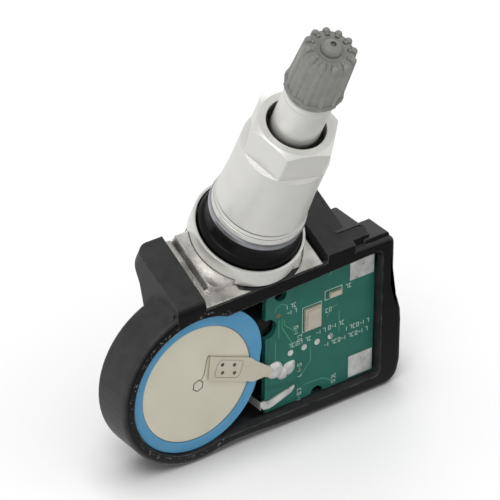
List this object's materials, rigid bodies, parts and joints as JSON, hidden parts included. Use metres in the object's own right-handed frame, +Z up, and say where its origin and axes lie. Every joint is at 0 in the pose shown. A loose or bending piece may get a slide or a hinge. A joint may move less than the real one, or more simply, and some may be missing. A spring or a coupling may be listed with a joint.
{
  "type": "tyre pressure sensor with clamp-in valve",
  "caption": "Tyre pressure sensor with a leaning metal clamp-in valve, rubber grommet, skirted hexagon nut, ribbed cap and a potted window over its coin cell and circuit board",
  "frame": {"origin": "on the stem's axis, in the plane of the cup's rim that meets the wheel's inner face", "axes": "X along the housing with the battery at -X, Y from the potted window to the back, Z up; the stem leans 26.5 degrees from Z towards -Y"},
  "size_m": [0.0568, 0.0385, 0.0816],
  "materials": {
    "housing_plastic": "fine moulded texture",
    "nickel": "dull mottled nickel plate",
    "potting_gel": "clear soft casting resin",
    "board_green": "green solder mask",
    "chip_black": "moulded package",
    "tan_lid": "fired ceramic and plated lid",
    "tinned": "tin solder",
    "cell_steel": "nickel-plated steel",
    "sleeve_blue": "smooth shrink film",
    "stem_metal": "satin nickel plate, turned",
    "screw_steel": "plain steel",
    "black_rubber": "smooth moulded rubber with a slight sheen",
    "washer_steel": "blue-grey coating",
    "core_brass": "turned",
    "gasket_white": "smooth",
    "cap_grey": "moulded, slightly satin"
  },
  "bodies": {
    "sensor": {"housing": "housing_plastic", "carrier_plate": "nickel", "potting": "potting_gel", "circuit_board": "board_green", "sensor_chip": "chip_black", "crystal": "tan_lid", "chip_capacitor": "tan_lid", "antenna_strip": "tinned", "battery_cell": "cell_steel", "battery_sleeve": "sleeve_blue", "positive_tab": "cell_steel", "negative_tab": "cell_steel", "solder_joints": "tinned", "valve_stem": "stem_metal", "stem_screw": "screw_steel", "rubber_grommet": "black_rubber", "core_body": "core_brass", "core_gasket": "gasket_white", "core_spring": "screw_steel"},
    "washer": {"nut_washer": "washer_steel"},
    "nut": {"collar_nut": "stem_metal"},
    "pin": {"valve_pin": "core_brass", "core_seat_seal": "black_rubber"},
    "seal": {"cap_seal": "black_rubber"},
    "cap": {"valve_cap": "cap_grey"}
  },
  "joints": [
    {"name": "nut_lift", "type": "slide", "parent": "sensor", "child": "washer", "axis": [0, -0.4462, 0.8949], "range_m": [0, 0.008]},
    {"name": "nut_turn", "type": "hinge", "parent": "washer", "child": "nut", "pos_m": [0, 0, 0], "axis": [0, -0.4462, 0.8949], "range_deg": [0, 2880]},
    {"name": "cap_lift", "type": "slide", "parent": "sensor", "child": "seal", "axis": [0, -0.4462, 0.8949], "range_m": [0, 0.00556]},
    {"name": "cap_turn", "type": "hinge", "parent": "seal", "child": "cap", "pos_m": [0, 0, 0], "axis": [0, -0.4462, 0.8949], "range_deg": [0, 2520]},
    {"name": "pin_press", "type": "slide", "parent": "sensor", "child": "pin", "axis": [0, 0.4462, -0.8949], "range_m": [0, 0.001], "stiffness_N_per_m": 2500, "springref_m": -0.001, "deforming": ["core_spring"]}
  ],
  "couplings": [
    {"joint": "nut_turn", "follows": "nut_lift", "rad_per_m": 6283.2},
    {"joint": "cap_turn", "follows": "cap_lift", "rad_per_m": 7913.3}
  ]
}
